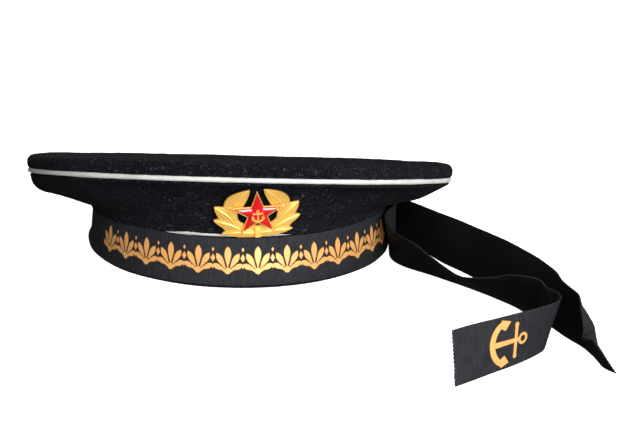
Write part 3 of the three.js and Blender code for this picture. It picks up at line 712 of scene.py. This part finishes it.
# the rise and the half height of the lozenges between two palmettes, and how slim they are
LOZENGES = ((0.52, 0.15), (0.84, 0.08), (0.2, 0.08))
LOZENGE_SLIM = 0.55
gold_foil = Finish("gold_foil", {"Metallic": 0.3, "Specular IOR Level": 0.6})
foil_place = gold_foil.place()
foil_wear = gold_foil.noise(foil_place, 0.0022, 4.0, 0.6)
foil_weave = gold_foil.noise(foil_place, 0.0005, 2.0)
foil_colour = gold_foil.mix((1.0, 0.58, 0.2), (0.86, 0.36, 0.1), foil_wear)
gold_foil.wear(
    colour=foil_colour,
    roughness=foil_wear * 0.25 + 0.27,
    normal=gold_foil.bump(foil_weave + foil_wear * 0.4, 0.00007, 0.8),
)
glue = Finish("brown_glue", {"Specular IOR Level": 0.3})
glue_tone = glue.noise(glue.place(), 0.002, 2.0)
glue.wear(colour=glue.mix((0.22, 0.085, 0.02), (0.1, 0.035, 0.012), glue_tone), roughness=0.6)


def arc(centre, radius, start, end, steps=10):
    """Points on an arc, angles in degrees."""
    angle = np.radians(np.linspace(start, end, steps + 1))
    return np.stack([centre[0] + radius * np.cos(angle), centre[1] + radius * np.sin(angle)], -1)


def petal(length, width, angle, rise=0.0):
    """A drop shape from the origin, its round end away from it."""
    t = np.linspace(0, 1, PETAL_STEPS + 1)
    half = width / 2 * np.sin(math.pi * t**PETAL_DROP) ** PETAL_BLUNT
    side = np.stack([half, rise + length * t], -1)
    outline = np.concatenate([side, (side * (-1, 1))[-2:0:-1]])
    c, s = math.cos(math.radians(angle)), math.sin(math.radians(angle))
    return outline @ np.array([[c, -s], [s, c]]).T


def grown(shape, rim):
    """A shape with its outline moved out by a rim."""
    ahead = np.roll(shape, -1, 0) - np.roll(shape, 1, 0)
    turned = np.stack([ahead[:, 1], -ahead[:, 0]], -1)
    turned = turned / np.maximum(np.linalg.norm(turned, axis=1, keepdims=True), 1e-9)
    area = (shape[:, 0] * np.roll(shape[:, 1], -1) - np.roll(shape[:, 0], -1) * shape[:, 1]).sum()
    return shape + turned * rim * (1 if area > 0 else -1)


def inside(places, shape):
    """Whether each place lies within a closed outline."""
    odd = np.zeros(len(places), bool)
    for (x0, y0), (x1, y1) in zip(shape, np.roll(shape, -1, 0)):
        crosses = (places[:, 1] < y0) != (places[:, 1] < y1)
        odd ^= crosses & (places[:, 0] < x0 + (places[:, 1] - y0) * (x1 - x0) / (y1 - y0 + 1e-12))
    return odd


def print_on(name, shapes, surface, thickness, material, cell=PRINT_CELL):
    """Flat shapes joined into one thin solid that follows a surface, given by its lengths and height."""
    corners = [Vector(p) for shape in shapes for p in shape]
    faces = []
    for shape in shapes:
        start = sum(len(face) for face in faces)
        faces.append(list(range(start, start + len(shape))))
    everything = np.concatenate(shapes)
    low, high = everything.min(0), everything.max(0)
    across = np.arange(low[0], high[0], cell)
    upwards = np.arange(low[1], high[1], cell)
    corners += [Vector((x, y)) for x in across for y in upwards]
    points, _, triangles = geometry.delaunay_2d_cdt(corners, [], faces, 0, PRINT_WELD)[:3]
    places = np.array([tuple(p) for p in points])
    middles = np.array([places[list(triangle)].mean(0) for triangle in triangles])
    kept = np.any([inside(middles, shape) for shape in shapes], 0)
    triangles = [triangle for triangle, keep in zip(triangles, kept) if keep]
    print_mesh = bmesh.new()
    tops = surface(places[:, 0], places[:, 1], thickness)
    made = [print_mesh.verts.new(p) for p in tops]
    for triangle in triangles:
        print_mesh.faces.new([made[k] for k in triangle])
    loose = [v for v in print_mesh.verts if not v.link_faces]
    bottoms = surface(places[:, 0], places[:, 1], 0.0)
    down = {made[k]: print_mesh.verts.new(bottoms[k]) for k in range(len(made)) if made[k].link_faces}
    rim = [edge for edge in print_mesh.edges if len(edge.link_faces) == 1]
    for triangle in list(print_mesh.faces):
        print_mesh.faces.new([down[v] for v in reversed(triangle.verts[:])])
    for edge in rim:
        first, second = edge.verts
        print_mesh.faces.new([second, first, down[first], down[second]])
    bmesh.ops.delete(print_mesh, geom=loose, context="VERTS")
    bmesh.ops.recalc_face_normals(print_mesh, faces=print_mesh.faces)
    mesh = bpy.data.meshes.new(name)
    print_mesh.to_mesh(mesh)
    print_mesh.free()
    return fitted(name, mesh, material)


def ribbon_face(length, height, above):
    """The ribbon's outside: lengths from the middle of the front towards +X, heights up the ribbon."""
    turn = np.interp(length, front_lengths, front_turns)
    foot = ribbon_foot(turn)
    up = foot + height * ribbon_rise / RIBBON_WIDTH
    return round_cap(turn, band_lean(up) + GAP + RIBBON_THICK + above, up)


front_turns = np.linspace(-math.pi / 2, math.pi / 2, 2 * FRONT_STEPS + 1)
front_line = round_cap(front_turns, GAP + RIBBON_THICK + band_lean(BAND_FRONT / 2), ribbon_foot(front_turns))
front_lengths = lengths(front_line, False)
front_lengths = front_lengths - front_lengths[FRONT_STEPS]
frieze = []
places = np.linspace(-FRIEZE_REACH, FRIEZE_REACH, PALMETTES)
for place in places:
    root = np.array([place, PRINT_LOW])
    for angle, share, width in PETALS:
        length = PRINT_HEIGHT * share * PETAL_REACH
        frieze.append(petal(length, PRINT_HEIGHT * width, angle, PRINT_HEIGHT * PETAL_RISE) + root)
    frieze.append(arc(root + (0, PRINT_HEIGHT * KNOB_RISE), PRINT_HEIGHT * KNOB_RADIUS, 0, 330, 11))
    bow = arc((0, 0), PRINT_HEIGHT * BOW_OUTSIDE, 200, 340, 8)
    bow = np.concatenate([bow, arc((0, 0), PRINT_HEIGHT * BOW_INSIDE, 340, 200, 8)])
    frieze.append(bow + root + (0, PRINT_HEIGHT * BOW_RISE))
for place in (places[1:] + places[:-1]) / 2:
    for rise, size in LOZENGES:
        centre = np.array([place, PRINT_LOW + PRINT_HEIGHT * rise])
        lozenge = np.array([(LOZENGE_SLIM, 0), (0, 1), (-LOZENGE_SLIM, 0), (0, -1)]) * PRINT_HEIGHT * size
        frieze.append(centre + lozenge)
print_on("frieze_glue", [grown(s, GLUE_RIM) for s in frieze], ribbon_face, GLUE, glue.material)
print_on("frieze_foil", frieze, ribbon_face, FOIL, gold_foil.material)

# The near tail carries a foil anchor a thumb's width from its end, lying along the ribbon.
# It is drawn with plain arms, flukes, a shank, a stock and a ring, in shares of its length.
ANCHOR_FROM_END = 0.0252
ANCHOR_LONG = 0.0275
PRINT_LIFT = 0.0003
near_foot, near_up, near_through, _ = tail_frame(near_route)
near_lengths = lengths(near_foot, False)


def near_tail_face(length, height, above):
    """The face of the near tail: lengths back from its cut end, heights up the ribbon."""
    at = near_lengths[-1] - length
    place, up, through = (
        np.stack([np.interp(at, near_lengths, line[:, k]) for k in range(3)], -1)
        for line in (near_foot, near_up, near_through)
    )
    out = RIBBON_SHOWN_THICK / 2 + PRINT_LIFT + above
    return place + up * np.reshape(height, (-1, 1)) + through * out


def anchor_shapes(long):
    """An anchor lying on its side, its arms at the origin and its ring at the far end."""
    arms = np.concatenate([arc((0.47, 0), 0.47, 108, 252, 24), arc((0.52, 0), 0.385, 248, 112, 24)])
    shank = np.array([(0.05, -0.055), (0.05, 0.055), (0.78, 0.038), (0.78, -0.038)])
    stock = np.array([(0.66, -0.31), (0.66, 0.31), (0.735, 0.31), (0.735, -0.31)])
    shapes = [arms, shank, stock]
    for side in (-1, 1):
        shapes.append(np.array([(0.24, 0.33), (0.3, 0.47), (0.53, 0.41), (0.4, 0.25)]) * (1, side))
        shapes.append(arc((0.6975, 0.315 * side), 0.05, 0, 330, 11))
        ring = arc((0.89, 0), 0.12, -4, 184, 14)
        ring = np.concatenate([ring, arc((0.89, 0), 0.066, 184, -4, 14)])
        shapes.append(ring * (1, side))
    return [shape * long for shape in shapes]


anchor = [s + (ANCHOR_FROM_END, RIBBON_WIDTH / 2) for s in anchor_shapes(ANCHOR_LONG)]
print_on("anchor_glue", [grown(s, GLUE_RIM) for s in anchor], near_tail_face, GLUE, glue.material)
print_on("anchor_foil", anchor, near_tail_face, FOIL, gold_foil.material)

# The cockade is a stamped gilt wreath of two branches tied at the foot, bent to the front of the crown.
# Each leaf is dished, with a bead round it, a rib and fine veins, as a die leaves them.
BADGE_HALF_WIDTH = 0.02625
BADGE_HEIGHT = 0.0365
BADGE_BEND = 0.115
BADGE_PLATE = 0.0012
LEAF_RELIEF = 0.0012
LEAF_END_RELIEF = 0.25
LEAF_BLUNT = 0.8
LEAF_POINT = 0.0003
LEAF_TOP = 1.15
DISH_HEIGHT = 0.8
DISH_FLAT = 1.8
BEAD_HEIGHT = 0.32
BEAD_AT = 0.88
BEAD_WIDTH = 0.1
RIB_HEIGHT = 0.3
RIB_WIDTH = 0.1
GROOVE_DEPTH = 0.22
GROOVE_AT = 0.2
GROOVE_WIDTH = 0.09
VEINS = 11
VEIN_SLANT = 2.2
VEIN_HEIGHT = 0.09
RECESS_SHARE = 0.9
RECESS_SLOPE = 0.0004
STAR_CENTRE = 0.019
STAR_PLATE = 0.001
STAR_RADIUS = 0.0164
STAR_INNER = 0.39
STAR_POINTS = 5
STAR_ROOM = 0.001
TIE_HALF = 0.0018
TIE_FOOT = 0.0016
TIE_HEAD = 0.0076
TIE_CORNER = 0.0005
TIE_STEPS = 24
TIE_CORDS = 5
TIE_CORD_RELIEF = 0.06
BADGE_TURN = math.radians(3.6)
BADGE_LEFT = 0.0014
LEAF_ROWS = 40
LEAF_COLUMNS = 28
# root and tip as shares of the half width and of the height, the width and the outward bow
LEAVES = (
    ((0, 0.12), (0.8, 0.12), 0.19, -0.05),
    ((0.28, 0.15), (0.98, 0.37), 0.24, -0.08),
    ((0.46, 0.24), (0.95, 0.64), 0.29, -0.08),
    ((0.68, 0.36), (0.16, 0.97), 0.3, 0.11),
)
# the right half of the plate behind the leaves, in the same shares
BODY = ((0, 0.03), (0.45, 0.04), (0.66, 0.12), (0.8, 0.24), (0.86, 0.4), (0.84, 0.56), (0.72, 0.66))
BODY += ((0.6, 0.6), (0.54, 0.49), (0.46, 0.41), (0.38, 0.335), (0.25, 0.28), (0, 0.255))
gilt = Finish("satin_gilt", {"Metallic": 0.4, "Specular IOR Level": 0.8})
gilt_place = gilt.place()
gilt_tone = gilt.noise(gilt_place, 0.004, 3.0, 0.55)
gilt_grain = gilt.noise(gilt_place, 0.00035, 3.0)
gilt.wear(
    colour=gilt.mix((1.0, 0.66, 0.17), (1.0, 0.5, 0.08), gilt_tone),
    roughness=gilt_tone * 0.14 + gilt_grain * 0.1 + 0.28,
    normal=gilt.bump(gilt_grain + gilt_tone, 0.00003, 0.6),
)
star_points = np.array([v.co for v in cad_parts["cockade_star"].data.vertices])
star_normal = np.linalg.svd(star_points - star_points.mean(0))[2][2]
star_normal = star_normal * (1 if star_normal[1] < 0 else -1)
badge_up = np.cross(star_normal, (1, 0, 0))
star_middle = star_points.mean(0)


def on_badge(x, y, out):
    """Points in the badge's own frame: across, up from its foot, and out from its flat back."""
    x, y, out = np.broadcast_arrays(x, y - STAR_CENTRE, out)
    across = x * math.cos(BADGE_TURN) - y * math.sin(BADGE_TURN) - BADGE_LEFT
    rise = (x * math.sin(BADGE_TURN) + y * math.cos(BADGE_TURN))[..., None] * badge_up
    lift = (out - BADGE_PLATE - GAP - STAR_PLATE / 2)[..., None] * star_normal
    return star_middle + across[..., None] * np.array((1, 0, 0)) + rise + lift


def star_reach(x, y, radius):
    """How far a place lies outside a star's outline, negative inside it."""
    step = math.pi / STAR_POINTS
    angle = np.abs((np.arctan2(x, y) + step) % (2 * step) - step)
    away = np.hypot(x, y)
    tip = np.array((radius, 0.0))
    corner = radius * STAR_INNER * np.array((math.cos(step), math.sin(step)))
    along = (corner - tip) / np.linalg.norm(corner - tip)
    return (away * np.cos(angle) - tip[0]) * along[1] - away * np.sin(angle) * along[0]


def leaf_sections(root, tip, width, bow, side):
    """A leaf as closed sections along its rib, the front in relief and the back flat."""
    foot = np.array((side * root[0] * BADGE_HALF_WIDTH, root[1] * BADGE_HEIGHT))
    run = np.array((side * tip[0] * BADGE_HALF_WIDTH, tip[1] * BADGE_HEIGHT)) - foot
    across = np.array((-run[1], run[0])) / np.linalg.norm(run)
    t = np.linspace(0, 1, LEAF_ROWS + 1)[:, None]
    swell_up = np.sin(math.pi * t)
    half = np.maximum(LEAF_POINT / 2, width * BADGE_HEIGHT * swell_up**LEAF_BLUNT / 2)
    s = np.linspace(-1, 1, LEAF_COLUMNS + 1)[None]
    middle = foot + run * t - side * bow * np.linalg.norm(run) * swell_up * across
    place = middle[:, None] + across * (half * s)[..., None]
    x, y = place[..., 0], place[..., 1]
    edge = np.abs(s)
    dish = (1 - edge**DISH_FLAT) * DISH_HEIGHT
    bead = BEAD_HEIGHT * np.exp(-(((edge - BEAD_AT) / BEAD_WIDTH) ** 2))
    rib = RIB_HEIGHT * np.exp(-((s / RIB_WIDTH) ** 2))
    groove = GROOVE_DEPTH * np.exp(-(((edge - GROOVE_AT) / GROOVE_WIDTH) ** 2))
    veins = VEIN_HEIGHT * np.sin(2 * math.pi * (t * VEINS - edge * VEIN_SLANT))
    veins = veins * np.sqrt(np.clip(1 - edge * LEAF_TOP, 0, 1))
    relief = np.clip(dish + bead + rib - groove + veins, 0, LEAF_TOP)
    height = BADGE_PLATE + LEAF_RELIEF * np.minimum(1, LEAF_END_RELIEF + swell_up) * relief
    clear = star_reach(x, y - STAR_CENTRE, STAR_RADIUS + STAR_ROOM)
    room = np.clip(clear / RECESS_SLOPE + 0.5, 0, 1)
    recess = BADGE_PLATE * RECESS_SHARE
    height = recess + (height - recess) * room
    sag = x**2 / (2 * BADGE_BEND)
    front = on_badge(x, y, height - sag)
    back = on_badge(x, y, 0 * height - sag)
    sections = np.concatenate([front, back[:, ::-4]], 1)
    return sections if side < 0 else sections[:, ::-1]


def badge_plate(x, y, out):
    return on_badge(x, y, out - x**2 / (2 * BADGE_BEND))


body_right = np.array(BODY) * (BADGE_HALF_WIDTH, BADGE_HEIGHT)
body = np.concatenate([body_right, (body_right * (-1, 1))[-2:0:-1]])
wreath_pieces = [print_on("body", [body], badge_plate, BADGE_PLATE, gilt.material)]
for row in LEAVES:
    for side in (-1, 1):
        sections = leaf_sections(*row, side)
        wreath_pieces.append(skin("leaf", sections, False, gilt.material))
tie_corners = np.array([(-1, 0), (1, 0), (1, 1), (-1, 1)]) * (TIE_HALF, BADGE_PLATE + LEAF_RELIEF)
tie_rows = np.linspace(TIE_FOOT, TIE_HEAD, TIE_STEPS)
tie_cords = 1 + TIE_CORD_RELIEF * np.sin(np.linspace(0, 2 * TIE_CORDS * math.pi, TIE_STEPS))
tie_sections = np.array([tie_corners * (1, cord) for cord in tie_cords])
tie_outline = rounded(tie_sections, TIE_CORNER, (3, 3, 3, 3))
tie_points = on_badge(tie_outline[..., 0], tie_rows[:, None], tie_outline[..., 1])
wreath_pieces.append(skin("tie", tie_points[:, ::-1], False, gilt.material))


def joined(name, pieces):
    """Makes one piece out of several that are fixed to each other."""
    whole = bmesh.new()
    for piece in pieces:
        whole.from_mesh(piece.data)
    bmesh.ops.recalc_face_normals(whole, faces=whole.faces)
    mesh = pieces[0].data
    whole.to_mesh(mesh)
    whole.free()
    for piece in pieces[1:]:
        bpy.data.objects.remove(piece)
    pieces[0].name = name
    return pieces[0]


wreath = joined("wreath", wreath_pieces)
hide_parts("cockade_wreath")

# The star is a gilt pan with a fine raised rim, filled with red enamel that is ground to ridges and polished.
# A small plain anchor is pinned on its middle.
ENAMEL_DOME = 0.0022
ENAMEL_EDGE = 0.00205
ENAMEL_SWELL = 0.9
FIGURE_LONG = 0.0086
FIGURE_BACK = 0.0029
FIGURE_THICK = 0.0008
FIGURE_CELL = 0.0006
STAR_SIDE_STEPS = 10
star_step = math.pi / STAR_POINTS
star_edge = math.hypot(1 - STAR_INNER * math.cos(star_step), STAR_INNER * math.sin(star_step))
STAR_APOTHEM = STAR_RADIUS * STAR_INNER * math.sin(star_step) / star_edge
star_corners = [
    STAR_RADIUS * (STAR_INNER if k % 2 else 1) * np.array((math.sin(k * star_step), math.cos(k * star_step)))
    for k in range(2 * STAR_POINTS)
]
side_shares = np.linspace(0, 1, STAR_SIDE_STEPS + 1)[:-1, None]
star_ends = star_corners[1:] + star_corners[:1]
star_sides = zip(star_corners, star_ends)
star_line = np.concatenate([start + (end - start) * side_shares for start, end in star_sides])


def star_rows(rows):
    """Outlines of the star, each set in from its edge and raised from the back of its plate."""
    made = []
    for inset, height in rows:
        line = star_line * max(0.02, 1 - inset / STAR_APOTHEM)
        made.append(on_badge(line[:, 0], STAR_CENTRE + line[:, 1], BADGE_PLATE + GAP + height))
    return np.stack(made)


# how far each row is set in from the star's edge, and its height above the plate's back
PAN = [(0.0002, 0), (0, 0.0002), (0, 0.0009), (0.0001, 0.00118), (0.0002, 0.0013), (0.00034, 0.0013)]
PAN += [(0.00044, 0.00118), (0.0005, 0.001), (0.00055, 0.0008), (0.003, 0.0008)]
star_pan = skin("star_pan", star_rows(PAN), False, gilt.material)
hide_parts("cockade_star")
enamel = Finish("red_enamel", {"Coat Roughness": 0.05, "Coat Weight": 0.8})
enamel_tone = enamel.noise(enamel.place(), 0.006, 3.0)
enamel.wear(
    colour=enamel.mix((0.78, 0.009, 0.016), (0.5, 0.004, 0.01), enamel_tone),
    roughness=enamel_tone * 0.1 + 0.18,
)
FILL = [(0.00068, 0.0009), (0.0006, 0.00105), (0.00068, 0.0013), (0.00095, 0.0017), (0.0014, 0.002)]
FILL += [
    (STAR_APOTHEM * share, ENAMEL_EDGE + (STAR_PLATE + ENAMEL_DOME - ENAMEL_EDGE) * share**ENAMEL_SWELL)
    for share in (0.5, 0.65, 0.8, 0.92, 1)
]
star_fill = skin("star_fill", star_rows(FILL), False, enamel.material)
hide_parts("star_enamel")


def star_front(x, y, above):
    return on_badge(x, y + STAR_CENTRE, BADGE_PLATE + GAP + FIGURE_BACK + above)


upright = [(shape - (FIGURE_LONG / 2, 0))[:, ::-1] * (-1, 1) for shape in anchor_shapes(FIGURE_LONG)]
figure = print_on("figure", upright, star_front, FIGURE_THICK, gilt.material, FIGURE_CELL)
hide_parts("star_figure")

# The stage: a plain pale floor, soft lights in front, at the left, overhead and behind, and the
# photograph's camera.
FLOOR_SIZE = 8.0
floor_mesh = bpy.data.meshes.new("floor")
floor_corners = [(x * FLOOR_SIZE, y * FLOOR_SIZE, 0) for x, y in ((-1, -1), (1, -1), (1, 1), (-1, 1))]
floor_mesh.from_pydata(floor_corners, [], [(0, 1, 2, 3)])
floor = bpy.data.objects.new("floor", floor_mesh)
bpy.context.scene.collection.objects.link(floor)
pale = Finish("pale_floor", {"Roughness": 1.0, "Specular IOR Level": 0.0, "Base Color": (0.8, 0.8, 0.8, 1)})
pale.surface.inputs["Emission Color"].default_value = (1, 1, 1, 1)
pale.surface.inputs["Emission Strength"].default_value = 1.0
floor_mesh.materials.append(pale.material)
floor.visible_diffuse = False
floor.visible_glossy = False


def softbox(name, place, target, size, power):
    """A square area light that faces a point."""
    light = bpy.data.lights.new(name, "AREA")
    light.shape = "SQUARE"
    light.size = size
    light.energy = power
    lamp = bpy.data.objects.new(name, light)
    bpy.context.scene.collection.objects.link(lamp)
    lamp.location = place
    lamp.rotation_euler = (Vector(target) - Vector(place)).to_track_quat("-Z", "Y").to_euler()


# the place of each light from the middle of the cap, its size in metres and its watts
LIGHTS = (
    ("front_light", (0.35, -1.5, 0.5), 1.0, 44),
    ("left_light", (-0.6, -1.4, 0.4), 0.6, 3),
    ("top_light", (0.6, -0.6, 2.0), 1.5, 11),
    ("back_light", (-0.4, 1.6, 0.9), 1.0, 9),
)
LIGHTS_AIM = MIDDLE + Vector((0, 0, 0.03))
for name, away, size, power in LIGHTS:
    softbox(name, MIDDLE + Vector(away), LIGHTS_AIM, size, power)
world = bpy.data.worlds.new("room")
bpy.context.scene.world = world
world.use_nodes = True
world.node_tree.nodes["Background"].inputs["Color"].default_value = (0.9, 0.93, 1.0, 1)
world.node_tree.nodes["Background"].inputs["Strength"].default_value = 0.08
bpy.context.scene.view_settings.view_transform = "Standard"

AZIMUTH = math.radians(-9.2)
ELEVATION = math.radians(15.5)
LEVEL = math.radians(-1.1)
DISTANCE = 1.0
LOOK_AT = MIDDLE + Vector((0.0535, 0, 0.0177))
FOCAL_PIXELS = 1500
IMAGE_WIDTH = 640
camera_data = bpy.data.cameras.new("camera")
camera_data.sensor_width = 36.0
camera_data.lens = camera_data.sensor_width * FOCAL_PIXELS / IMAGE_WIDTH
camera = bpy.data.objects.new("camera", camera_data)
bpy.context.scene.collection.objects.link(camera)
to_camera = Vector(
    (math.sin(AZIMUTH) * math.cos(ELEVATION), -math.cos(AZIMUTH) * math.cos(ELEVATION), math.sin(ELEVATION))
)
right = Vector((math.cos(AZIMUTH), math.sin(AZIMUTH), 0))
over = to_camera.cross(right)
right, over = (
    math.cos(LEVEL) * right - math.sin(LEVEL) * over,
    math.sin(LEVEL) * right + math.cos(LEVEL) * over,
)
stand = Matrix((right, over, to_camera)).transposed().to_4x4()
stand.translation = LOOK_AT + DISTANCE * to_camera
camera.matrix_world = stand
bpy.context.scene.camera = camera
